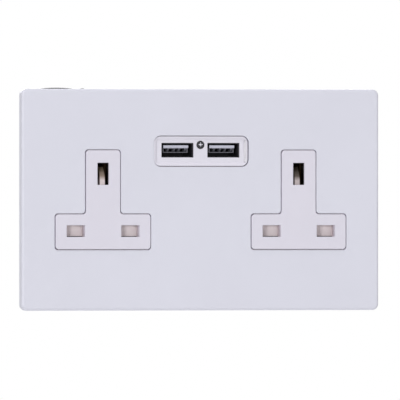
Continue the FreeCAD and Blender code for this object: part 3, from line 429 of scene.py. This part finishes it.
def port_plastic():
    """The ports' tongues, pale at the front and in the shade further in."""
    surface = Surface("port_plastic", (0.60, 0.60, 0.71), roughness=0.40)
    surface.vary_colour(scale=120.0, amount=0.03)
    surface.tint(PORT_SHADE_TINT, surface.along("Y", *PORT_SHADE))
    surface.vary_roughness(scale=900.0, amount=0.05)
    surface.add_bump(scale=2500.0, height=0.004 * MM)
    return surface.material


def gasket_foam():
    """Dark closed-cell foam, whose cells show as fine pits."""
    surface = Surface("gasket_foam", (0.035, 0.035, 0.04), roughness=0.85)
    surface.vary_colour(scale=400.0, amount=0.25)
    surface.vary_roughness(scale=700.0, amount=0.08)
    surface.add_bump(scale=2600.0, height=0.06 * MM)
    return surface.material


def contact_brass():
    """Pressed strip: rolling lines and a slight tarnish."""
    surface = Surface("contact_brass", (0.76, 0.57, 0.28), roughness=0.32, metallic=1.0)
    surface.vary_colour(scale=160.0, amount=0.12)
    surface.vary_roughness(scale=350.0, amount=0.10, stretch=(0.2, 1.0, 1.0))
    surface.add_bump(scale=2500.0, height=0.004 * MM, stretch=(0.1, 1.0, 1.0))
    return surface.material


def brass_in_painted_shade():
    """The bars' contact clips, brass darkened with painted shade inside their wells."""
    surface = Surface("brass_in_painted_shade", (0.13, 0.085, 0.045), roughness=0.55, metallic=0.7)
    surface.vary_colour(scale=160.0, amount=0.25)
    surface.vary_roughness(scale=350.0, amount=0.10, stretch=(0.2, 1.0, 1.0))
    surface.add_bump(scale=2500.0, height=0.004 * MM, stretch=(0.1, 1.0, 1.0))
    return surface.material


def spring_steel():
    """Bright drawn wire and strip."""
    surface = Surface("spring_steel", (0.52, 0.52, 0.54), roughness=0.30, metallic=1.0)
    surface.vary_colour(scale=260.0, amount=0.10)
    surface.vary_roughness(scale=500.0, amount=0.08)
    surface.add_bump(scale=2500.0, height=0.004 * MM)
    return surface.material


def plated_steel():
    """The zinc plate of the housing's and the terminals' screws."""
    surface = Surface("plated_steel", (0.66, 0.66, 0.69), roughness=0.22, metallic=1.0)
    surface.vary_colour(scale=300.0, amount=0.06)
    surface.vary_roughness(scale=600.0, amount=0.07)
    surface.add_bump(scale=2200.0, height=0.003 * MM)
    return surface.material


def port_steel():
    """The drawn shell of a port, dull, and darkened all over with painted shade for its inside."""
    surface = Surface("port_steel", (0.034, 0.032, 0.040), roughness=0.45, metallic=0.6)
    surface.vary_colour(scale=400.0, amount=0.10)
    surface.vary_roughness(scale=900.0, amount=0.08, stretch=(1.0, 0.2, 1.0))
    surface.add_bump(scale=2600.0, height=0.003 * MM, stretch=(1.0, 0.2, 1.0))
    return surface.material


def tin_in_painted_shade():
    """The ports' tinned contacts, darkened with painted shade where they lie under the tongues."""
    surface = Surface("tin_in_painted_shade", (0.16, 0.16, 0.19), roughness=0.5, metallic=0.6)
    surface.vary_colour(scale=700.0, amount=0.12)
    surface.vary_roughness(scale=1200.0, amount=0.08)
    surface.add_bump(scale=2600.0, height=0.003 * MM)
    return surface.material


def board_laminate():
    """Green solder mask over the weave of the glass cloth."""
    surface = Surface("board_laminate", (0.02, 0.16, 0.06), roughness=0.35)
    surface.vary_colour(scale=250.0, amount=0.15)
    surface.vary_roughness(scale=500.0, amount=0.06)
    surface.add_bump(scale=1200.0, height=0.02 * MM)
    return surface.material


def component_case():
    """The dark, matt cases on the board and the blocks behind the tongues."""
    surface = Surface("component_case", (0.016, 0.015, 0.022), roughness=0.65)
    surface.vary_colour(scale=300.0, amount=0.2)
    surface.vary_roughness(scale=600.0, amount=0.08)
    surface.add_bump(scale=1600.0, height=0.02 * MM)
    return surface.material


def blackened_steel():
    """The bezel screw's dark plating."""
    surface = Surface("blackened_steel", (0.020, 0.020, 0.026), roughness=0.42, metallic=0.3)
    surface.vary_colour(scale=900.0, amount=0.25)
    surface.vary_roughness(scale=1500.0, amount=0.10)
    surface.add_bump(scale=3000.0, height=0.004 * MM)
    return surface.material


def recess_highlight_steel():
    """The screw's recess, pale as a painted highlight where its facets catch the light."""
    surface = Surface("recess_highlight_steel", (0.80, 0.79, 0.84), roughness=0.50, metallic=0.15)
    surface.vary_colour(scale=1200.0, amount=0.08)
    surface.vary_roughness(scale=1500.0, amount=0.10)
    surface.add_bump(scale=3000.0, height=0.003 * MM)
    return surface.material


def pale_floor():
    surface = Surface("pale_floor", (0.86, 0.86, 0.86), roughness=0.7)
    surface.vary_colour(scale=3.0, amount=0.02)
    return surface.material


# The photograph: a long lens, a little round to the left of the socket and level with it
PHOTO_PIXELS = 400
PIXELS_PER_MM = 2.574
SENSOR_WIDTH = 36.0
CAMERA_DISTANCE = 6.0
CAMERA_AZIMUTH = -18.2
CAMERA_TARGET = (-0.40 * MM, -4.0 * MM, -0.10 * MM)


def place_camera():
    data = bpy.data.cameras.new("camera")
    camera = add_object("camera", data)
    view_width = PHOTO_PIXELS / PIXELS_PER_MM * MM
    data.sensor_width = SENSOR_WIDTH
    data.lens = SENSOR_WIDTH * CAMERA_DISTANCE / view_width
    data.clip_start = 0.1
    data.clip_end = 100.0
    azimuth = math.radians(CAMERA_AZIMUTH)
    back = Vector((math.sin(azimuth), -math.cos(azimuth), 0))
    camera.location = Vector(CAMERA_TARGET) + back * CAMERA_DISTANCE
    camera.rotation_euler = (-back).to_track_quat("-Z", "Y").to_euler()
    bpy.context.scene.camera = camera


# Each lamp's place, width and power. The key light stands far off, so it lights the plate evenly.
LAMPS = {
    "key_light": ((-2.60, -3.32, 0.40), 0.9, 59.0),
    "fill_light": ((0.45, -2.2, -0.1), 1.2, 7.2),
    "top_light": ((-0.2, -0.40, 1.9), 1.0, 18.0),
    "back_light": ((0.3, 1.7, 0.9), 1.4, 20.0),
}


def light_the_scene():
    """Square lamps that all face the socket."""
    for name, (place, size, power) in LAMPS.items():
        data = bpy.data.lights.new(name, "AREA")
        data.shape = "SQUARE"
        data.size = size
        data.energy = power
        lamp = add_object(name, data)
        lamp.location = place
        lamp.rotation_euler = (-Vector(place)).to_track_quat("-Z", "Y").to_euler()


# The background's colour, and the strength of the light from all round
WHITE = (1.0, 1.0, 1.0, 1.0)
SURROUNDING_LIGHT = 0.29


def set_world():
    """A white background for the camera and in reflections, and soft grey light all round."""
    world = bpy.data.worlds.new("studio")
    bpy.context.scene.world = world
    world.use_nodes = True
    tree = world.node_tree
    tree.nodes.clear()
    output = tree.nodes.new("ShaderNodeOutputWorld")
    mix = tree.nodes.new("ShaderNodeMixShader")
    shade = tree.nodes.new("ShaderNodeBackground")
    shade.inputs["Color"].default_value = WHITE
    shade.inputs["Strength"].default_value = SURROUNDING_LIGHT
    white = tree.nodes.new("ShaderNodeBackground")
    white.inputs["Color"].default_value = WHITE
    path = tree.nodes.new("ShaderNodeLightPath")
    seen = path.outputs["Is Camera Ray"]
    for kind in ("Is Glossy Ray", "Is Transmission Ray"):
        either = tree.nodes.new("ShaderNodeMath")
        either.operation = "MAXIMUM"
        tree.links.new(seen, either.inputs[0])
        tree.links.new(path.outputs[kind], either.inputs[1])
        seen = either.outputs[0]
    tree.links.new(seen, mix.inputs["Fac"])
    tree.links.new(shade.outputs[0], mix.inputs[1])
    tree.links.new(white.outputs[0], mix.inputs[2])
    tree.links.new(mix.outputs[0], output.inputs["Surface"])


FLOOR_HALF_WIDTH = 2.0
FLOOR_HEIGHT = -0.30


def lay_floor():
    """A plain pale floor, well below the socket, which hangs at the height of its wall box."""
    mesh = bpy.data.meshes.new("floor")
    outline = rectangle(-FLOOR_HALF_WIDTH, FLOOR_HALF_WIDTH, -FLOOR_HALF_WIDTH, FLOOR_HALF_WIDTH)
    mesh.from_pydata([(x, y, FLOOR_HEIGHT) for x, y in outline], [], [(0, 1, 2, 3)])
    floor = add_object("floor", mesh)
    mesh.materials.append(pale_floor())


# The screw in the bezel, with what the solid leaves out: its cross recess and its thread.
# Its head is a little larger than the solid's, and stands a little higher and to the right.
HEAD_SEGMENTS = 64
HEAD_GROWTH = 0.12 * MM
HEAD_SHIFT_RIGHT = 0.10 * MM
HEAD_SHIFT_UP = 0.12 * MM
HEAD_HEIGHT = 0.70 * MM
HEAD_ROUNDING = 0.30 * MM
ROUNDING_STEPS = 6
SHANK_RADIUS = 0.85 * MM
THREAD_PITCH = 0.7 * MM
THREAD_HEIGHT = 0.18 * MM
RECESS_REACH = 0.86 * MM
RECESS_HALF_WIDTH = 0.13 * MM
RECESS_CENTRE = 0.46 * MM
RECESS_DEPTH = 0.42 * MM
RECESS_MOUTH_SCALE = 1.15
RECESS_FLOOR_SCALE = 0.80


def recess_outline():
    """A cross with a round middle."""
    inner = math.sqrt(RECESS_CENTRE ** 2 - RECESS_HALF_WIDTH ** 2)
    slant = RECESS_CENTRE * math.sqrt(0.5)
    quarter = [
        (RECESS_REACH, RECESS_HALF_WIDTH),
        (inner, RECESS_HALF_WIDTH),
        (slant, slant),
        (RECESS_HALF_WIDTH, inner),
        (RECESS_HALF_WIDTH, RECESS_REACH),
    ]
    outline = []
    for turn in range(4):
        for x, z in quarter:
            for _ in range(turn):
                x, z = -z, x
            outline.append((x, z))
    return outline


def recess_cutter():
    """The recess's cross, which narrows from in front of the head to its floor."""
    shape = bmesh.new()
    rings = []
    for scale, depth in ((RECESS_MOUTH_SCALE, -RECESS_DEPTH), (RECESS_FLOOR_SCALE, RECESS_DEPTH)):
        rings.append([shape.verts.new((x * scale, depth, z * scale)) for x, z in recess_outline()])
    mouth, floor = rings
    shape.faces.new(mouth)
    shape.faces.new(floor[::-1])
    bridge(shape, mouth, floor)
    return finish_mesh(shape, "recess")


def screw_profile(head_radius, length):
    """The screw from its front to its tip, as pairs of radius and depth."""
    profile = [(0, 0)]
    for step in range(ROUNDING_STEPS + 1):
        angle = math.pi / 2 * step / ROUNDING_STEPS
        radius = head_radius - HEAD_ROUNDING + HEAD_ROUNDING * math.sin(angle)
        profile.append((radius, HEAD_ROUNDING * (1 - math.cos(angle))))
    profile.append((head_radius, HEAD_HEIGHT))
    profile.append((SHANK_RADIUS, HEAD_HEIGHT))
    depth = HEAD_HEIGHT + THREAD_PITCH
    while depth + THREAD_PITCH < length - THREAD_PITCH:
        profile.append((SHANK_RADIUS, depth))
        profile.append((SHANK_RADIUS - THREAD_HEIGHT, depth + THREAD_PITCH / 2))
        depth += THREAD_PITCH
    profile.append((SHANK_RADIUS, depth))
    profile.append((0, length))
    return profile


def make_bezel_screw():
    """A small domed screw with a cross recess and a threaded shank, in place of the plain one."""
    low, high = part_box("bezel_screw")
    profile = screw_profile((high[0] - low[0]) / 2 + HEAD_GROWTH, high[1] - low[1])
    head = add_object("cross_head_screw", turned_mesh("screw", profile, HEAD_SEGMENTS))
    head.data.materials.append(blackened_steel())
    recess = add_object("cross_recess", recess_cutter())
    recess.data.materials.append(recess_highlight_steel())
    combine(head, recess, "DIFFERENCE")
    across = (low[0] + high[0]) / 2 + HEAD_SHIFT_RIGHT
    up = (low[2] + high[2]) / 2 + HEAD_SHIFT_UP
    head.location = (across, low[1], up)
    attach(head, "socket")
    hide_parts("bezel_screw")


# The shutters, with eased edges, a rounded nose on the ramp and two thin lips below the blade
SHUTTER_FRONT = -0.5 * MM
SHUTTER_BACK = 1.3 * MM
SHUTTER_SHOULDER = -9.525 * MM
SHUTTER_EDGE = 0.12 * MM
STEM_HALF_WIDTH = 4.0 * MM
STEM_TOP = 5.525 * MM
FOOT_HALF_WIDTH = 2.2 * MM
FOOT_HEIGHT = 3.0 * MM
LIP_DROP = 0.27 * MM
LIP_DEPTH = 0.7 * MM
LIP_START = 5.0 * MM
RAMP_HALF_WIDTH = 1.02 * MM
RAMP_FOOT = 5.275 * MM
RAMP_UPRIGHT = 1.0 * MM
RAMP_FALL = 2.7 * MM
RAMP_CURVE = 2.4
RAMP_STEPS = 10


def blade_outline(left, right, bottom):
    """The blade from the front: a bar across both lower holes, with a stem up to the ramp."""
    middle = (left + right) / 2
    return [
        (left, bottom),
        (right, bottom),
        (right, SHUTTER_SHOULDER),
        (middle + STEM_HALF_WIDTH, SHUTTER_SHOULDER),
        (middle + STEM_HALF_WIDTH, STEM_TOP),
        (middle - STEM_HALF_WIDTH, STEM_TOP),
        (middle - STEM_HALF_WIDTH, SHUTTER_SHOULDER),
        (left, SHUTTER_SHOULDER),
    ]


def ramp_outline(nose, top):
    """The ramp from the side: upright at its nose, and falling back faster towards its top."""
    corners = [(SHUTTER_BACK, RAMP_FOOT), (nose, RAMP_FOOT)]
    start = RAMP_FOOT + RAMP_UPRIGHT
    for step in range(RAMP_STEPS + 1):
        part = step / RAMP_STEPS
        corners.append((nose + RAMP_FALL * part ** RAMP_CURVE, start + (top - start) * part))
    corners.append((SHUTTER_BACK, top))
    return corners


def make_lips(left, right, bottom):
    """Two thin lips below the blade, which leave room for the spring between them."""
    middle = (left + right) / 2
    back = SHUTTER_FRONT + LIP_DEPTH
    lips = []
    for near, far in ((left, middle - LIP_START), (middle + LIP_START, right)):
        outline = rectangle(near, far, bottom - LIP_DROP, bottom + FOOT_HEIGHT)
        lips.append(prism_object("lip", outline, SHUTTER_FRONT, back, front_view))
    return lips


def make_shutter(name, body, ramp_shade, ramp_shift=0.0):
    """One moulding of blade, foot, ramp and lips, whose ramp may have darker painted shade and
    stand aside.
    """
    low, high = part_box(name)
    left, right, bottom = low[0], high[0], low[2]
    middle = (left + right) / 2
    blade = blade_outline(left, right, bottom)
    shutter = prism_object(name + "_moulding", blade, SHUTTER_FRONT, SHUTTER_BACK, front_view)
    foot_sides = (middle - FOOT_HALF_WIDTH, middle + FOOT_HALF_WIDTH)
    foot_outline = rectangle(*foot_sides, bottom, bottom + FOOT_HEIGHT)
    foot = prism_object("foot", foot_outline, SHUTTER_FRONT, high[1], front_view)
    ramp_middle = middle + ramp_shift
    ramp_sides = (ramp_middle - RAMP_HALF_WIDTH, ramp_middle + RAMP_HALF_WIDTH)
    ramp = prism_object("ramp", ramp_outline(low[1], high[2]), *ramp_sides, side_view)
    for part in (foot, ramp, *make_lips(left, right, bottom)):
        combine(shutter, part, "UNION")
    ease_edges(shutter, SHUTTER_EDGE)
    stand_for(shutter, name, shutter_plastic(ramp_shade), body)


# The shutters' springs: coils with closed ends
SPRING_WIRE = 0.36 * MM
SPRING_TURNS = 8
COIL_STEPS = 28
WIRE_SIDES = 10


def coil_places(bottom, top):
    """The places along a coil as angle and height; its first and last turns lie closed."""
    open_turns = SPRING_TURNS - 2
    closed_rise = SPRING_WIRE / COIL_STEPS
    open_rise = (top - bottom - 2 * SPRING_WIRE) / (open_turns * COIL_STEPS)
    height = bottom
    places = []
    for step in range(SPRING_TURNS * COIL_STEPS + 1):
        places.append((2 * math.pi * step / COIL_STEPS, height))
        turn = step // COIL_STEPS
        height += closed_rise if turn in (0, SPRING_TURNS - 1) else open_rise
    return places


def coil_mesh(middle, radius, bottom, top):
    """Round wire along the coil, smooth all round and flat at its two ends."""
    shape = bmesh.new()
    rings = []
    for angle, height in coil_places(bottom + SPRING_WIRE / 2, top - SPRING_WIRE / 2):
        outward = Vector((math.cos(angle), math.sin(angle), 0))
        centre = middle + outward * radius + Vector((0, 0, height))
        ring = []
        for corner in range(WIRE_SIDES):
            turn = 2 * math.pi * corner / WIRE_SIDES
            across = outward * math.cos(turn) + Vector((0, 0, math.sin(turn)))
            ring.append(shape.verts.new(centre + across * SPRING_WIRE / 2))
        rings.append(ring)
    for first, second in zip(rings, rings[1:]):
        bridge(shape, first, second)
    shape.faces.new(rings[0])
    shape.faces.new(rings[-1][::-1])
    mesh = finish_mesh(shape, "spring")
    for face in mesh.polygons:
        face.use_smooth = len(face.vertices) < WIRE_SIDES
    return mesh


def make_spring(side):
    node = "shutter_spring_" + side
    low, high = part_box(node)
    middle = Vector(((low[0] + high[0]) / 2, (low[1] + high[1]) / 2, 0))
    radius = (high[0] - low[0] - SPRING_WIRE) / 2
    spring = add_object("coil_spring_" + side, coil_mesh(middle, radius, low[2], high[2]))
    stand_for(spring, node, spring_steel(), "socket")
    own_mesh(spring)


# The ports' tongues, a little narrower and thinner than their solids, with eased edges. Below
# each one hang a comb that the contacts run through and the two cheeks that carry it.
TONGUE_HALF_WIDTH = 5.1 * MM
TONGUE_LIP = 0.30 * MM
TONGUE_SHIFT = -0.18 * MM
TONGUE_RISE = 0.04 * MM
TONGUE_LIFT = 0.42 * MM
TONGUE_EDGE = 0.06 * MM
COMB_RECESS = 0.9 * MM
COMB_DEPTH = 0.6 * MM
COMB_DROP = 1.72 * MM
COMB_HEIGHT = 0.30 * MM
CHEEK = 0.4 * MM


def tongue_outline(front, back, bottom, top):
    """The tongue from the side, with a slanted lip above and below its front."""
    return [
        (back, top),
        (front + TONGUE_LIP / 2, top),
        (front, top - TONGUE_LIP / 2),
        (front, bottom + TONGUE_LIP),
        (front + TONGUE_LIP, bottom),
        (back, bottom),
    ]


def make_tongue(side):
    low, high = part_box("usb_tongue_" + side)
    middle = (low[0] + high[0]) / 2 + TONGUE_SHIFT
    left, right = middle - TONGUE_HALF_WIDTH, middle + TONGUE_HALF_WIDTH
    bottom = low[2] + TONGUE_LIFT
    outline = tongue_outline(low[1], high[1], bottom, high[2] + TONGUE_RISE)
    tongue = prism_object("port_tongue_" + side, outline, left, right, side_view)
    front = low[1] + COMB_RECESS
    back = front + COMB_DEPTH
    comb_bottom = bottom - COMB_DROP
    comb_outline = side_rectangle(front, back, comb_bottom, comb_bottom + COMB_HEIGHT)
    cheek_outline = side_rectangle(front, back, comb_bottom, bottom + COMB_HEIGHT)
    comb = prism_object("comb", comb_outline, left, right, side_view)
    near_cheek = prism_object("near_cheek", cheek_outline, left, left + CHEEK, side_view)
    far_cheek = prism_object("far_cheek", cheek_outline, right - CHEEK, right, side_view)
    for part in (comb, near_cheek, far_cheek):
        combine(tongue, part, "UNION")
    ease_edges(tongue, TONGUE_EDGE)
    stand_for(tongue, "usb_tongue_" + side, port_plastic(), "socket")


# The ports' contacts: sprung leaves whose noses stand lower than the solid's plain bumps
CONTACT_PLACES = [-3.5 * MM, -1.0 * MM, 1.0 * MM, 3.5 * MM]
CONTACT_HALF_WIDTH = 0.40 * MM
CONTACT_SHIFT = 0.2 * MM
LEAF_THICKNESS = 0.25 * MM
LEAF_START = 0.15 * MM
LEAF_LENGTH = 3.4 * MM
LEAF_DROP = 1.10 * MM
LEAF_LEAN = 0.8
LEAF_SHARPNESS = 1.4
LEAF_STEPS = 12


def leaf_outline(front, back, underside, foot):
    """A contact from the side: a curved leaf under the tongue, and its leg down to the board."""
    upper = []
    lower = []
    for step in range(LEAF_STEPS + 1):
        part = step / LEAF_STEPS
        drop = LEAF_DROP * math.sin(math.pi * part ** LEAF_LEAN) ** LEAF_SHARPNESS
        depth = front + LEAF_LENGTH * part
        upper.append((depth, underside - drop))
        lower.append((depth, underside - LEAF_THICKNESS - drop))
    leg_front = back - LEAF_THICKNESS
    lower += [(leg_front, underside - LEAF_THICKNESS), (leg_front, foot), (back, foot)]
    upper.append((back, underside))
    return lower + upper[::-1]


def make_contacts(side):
    low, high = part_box("usb_contacts_" + side)
    tongue_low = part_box("usb_tongue_" + side)[0]
    middle = (low[0] + high[0]) / 2 + CONTACT_SHIFT
    underside = tongue_low[2] + TONGUE_LIFT
    outline = leaf_outline(tongue_low[1] + LEAF_START, high[1], underside, low[2])
    shape = bmesh.new()
    for place in CONTACT_PLACES:
        sides = (middle + place - CONTACT_HALF_WIDTH, middle + place + CONTACT_HALF_WIDTH)
        prism(shape, outline, *sides, side_view)
    contacts = add_object("port_contacts_" + side, finish_mesh(shape, "contacts"))
    stand_for(contacts, "usb_contacts_" + side, tin_in_painted_shade(), "socket")


# The foam gasket with softened edges, and the two places where it swells past the plate's top:
# the middle and half the length of each, and how far it rises above the plate
GASKET_STEPS = 1440
GASKET_EDGE = 0.15 * MM
GASKET_CORNER = 2.0 * MM
PLATE_HALF_HEIGHT = 43.0 * MM
SWELLINGS = [(-57.8 * MM, 13.0 * MM, 0.40 * MM), (-47.2 * MM, 2.6 * MM, 0.20 * MM)]
FIXING_PLACE = 60.3 * MM
FIXING_HALF = 5.5 * MM
OPENING_HALF_WIDTH = 59.0 * MM
OPENING_HALF_HEIGHT = 30.0 * MM
CLOSE = 0.01 * MM
LEAST_SLANT = 1e-9


def reach_of_box(x, z, half_width, half_height):
    """How far a ray from the middle towards (x, z) runs before it leaves a box."""
    across = half_width / abs(x) if abs(x) > LEAST_SLANT else math.inf
    up = half_height / abs(z) if abs(z) > LEAST_SLANT else math.inf
    return min(across, up)


def gasket_inner_point(x, z, inset):
    """The edge of the gasket's opening, which steps out round the two fixing holes."""
    opening = reach_of_box(x, z, OPENING_HALF_WIDTH, OPENING_HALF_HEIGHT)
    fixings = reach_of_box(x, z, FIXING_PLACE + FIXING_HALF, FIXING_HALF)
    reach = max(opening, fixings) + inset
    return x * reach, z * reach


def swelling_at(x, half_height):
    """How far the gasket's top edge rises at a place along it."""
    swelling = 0.0
    for middle, half_length, rise in SWELLINGS:
        share = 1 - ((x - middle) / half_length) ** 2
        swelling = max(swelling, share * (PLATE_HALF_HEIGHT + rise - half_height))
    return swelling


def gasket_outer_point(x, z, half_width, half_height, inset):
    """The gasket's outer edge: a box with round corners and the swellings along its top."""
    reach = reach_of_box(x, z, half_width - inset, half_height - inset)
    across, up = x * reach, z * reach
    corner_x = half_width - inset - GASKET_CORNER
    corner_z = half_height - inset - GASKET_CORNER
    over_x, over_z = abs(across) - corner_x, abs(up) - corner_z
    if over_x > 0 and over_z > 0:
        scale = min(GASKET_CORNER / math.hypot(over_x, over_z), 1)
        across = math.copysign(corner_x + over_x * scale, x)
        up = math.copysign(corner_z + over_z * scale, z)
    if up > half_height - inset - CLOSE:
        up += swelling_at(across, half_height)
    return across, up


def make_gasket():
    """A flat ring whose section is a strip with its four corners cut off."""
    low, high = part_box("gasket")
    half_width = (high[0] - low[0]) / 2
    half_height = -low[2]
    front, back = low[1], high[1]
    loops = [
        ("inner", front + GASKET_EDGE, 0.0),
        ("inner", front, GASKET_EDGE),
        ("outer", front, GASKET_EDGE),
        ("outer", front + GASKET_EDGE, 0.0),
        ("outer", back - GASKET_EDGE, 0.0),
        ("outer", back, GASKET_EDGE),
        ("inner", back, GASKET_EDGE),
        ("inner", back - GASKET_EDGE, 0.0),
    ]
    shape = bmesh.new()
    rings = []
    for edge, depth, inset in loops:
        ring = []
        for step in range(GASKET_STEPS):
            angle = 2 * math.pi * (step + 0.5) / GASKET_STEPS
            x, z = math.cos(angle), math.sin(angle)
            if edge == "outer":
                x, z = gasket_outer_point(x, z, half_width, half_height, inset)
            else:
                x, z = gasket_inner_point(x, z, inset)
            ring.append(shape.verts.new((x, depth, z)))
        rings.append(ring)
    for first, second in zip(rings, rings[1:] + rings[:1]):
        bridge(shape, first, second)
    gasket = add_object("foam_gasket", finish_mesh(shape, "gasket_foam"))
    stand_for(gasket, "gasket", gasket_foam(), "socket")


# The solids that keep their own shape, by finish
FINISHES = {
    cover_paint: ["cover_plate"],
    face_plastic: ["front_moulding"],
    bezel_plastic: ["usb_bezel"],
    housing_plastic: ["rear_housing"],
    contact_brass: [
        "line_terminal", "neutral_terminal", "earth_terminal_left", "earth_terminal_right",
        "line_link", "neutral_link",
    ],
    brass_in_painted_shade: ["line_busbar", "neutral_busbar", "earth_busbar"],
    port_steel: ["usb_shell_left", "usb_shell_right"],
    spring_steel: ["cover_clips"],
    plated_steel: ["housing_screws", "terminal_screws"],
    board_laminate: ["usb_circuit_board"],
    component_case: [
        "usb_transformer", "usb_capacitors", "usb_block_left", "usb_block_right",
    ],
}


def finish_the_nodes():
    for make_material, names in FINISHES.items():
        material = make_material()
        for name in names:
            mesh = nodes[name].data
            mesh.materials.clear()
            mesh.materials.append(material)


bpy.context.scene.view_settings.view_transform = "Standard"
place_camera()
light_the_scene()
set_world()
lay_floor()
finish_the_nodes()
make_bezel_screw()
make_shutter("shutter_left", "shutter_l", ramp_shade=1.0)
make_shutter("shutter_right", "shutter_r", ramp_shade=0.28, ramp_shift=-0.3 * MM)
for make_piece in (make_spring, make_tongue, make_contacts):
    for side in ("left", "right"):
        make_piece(side)
make_gasket()
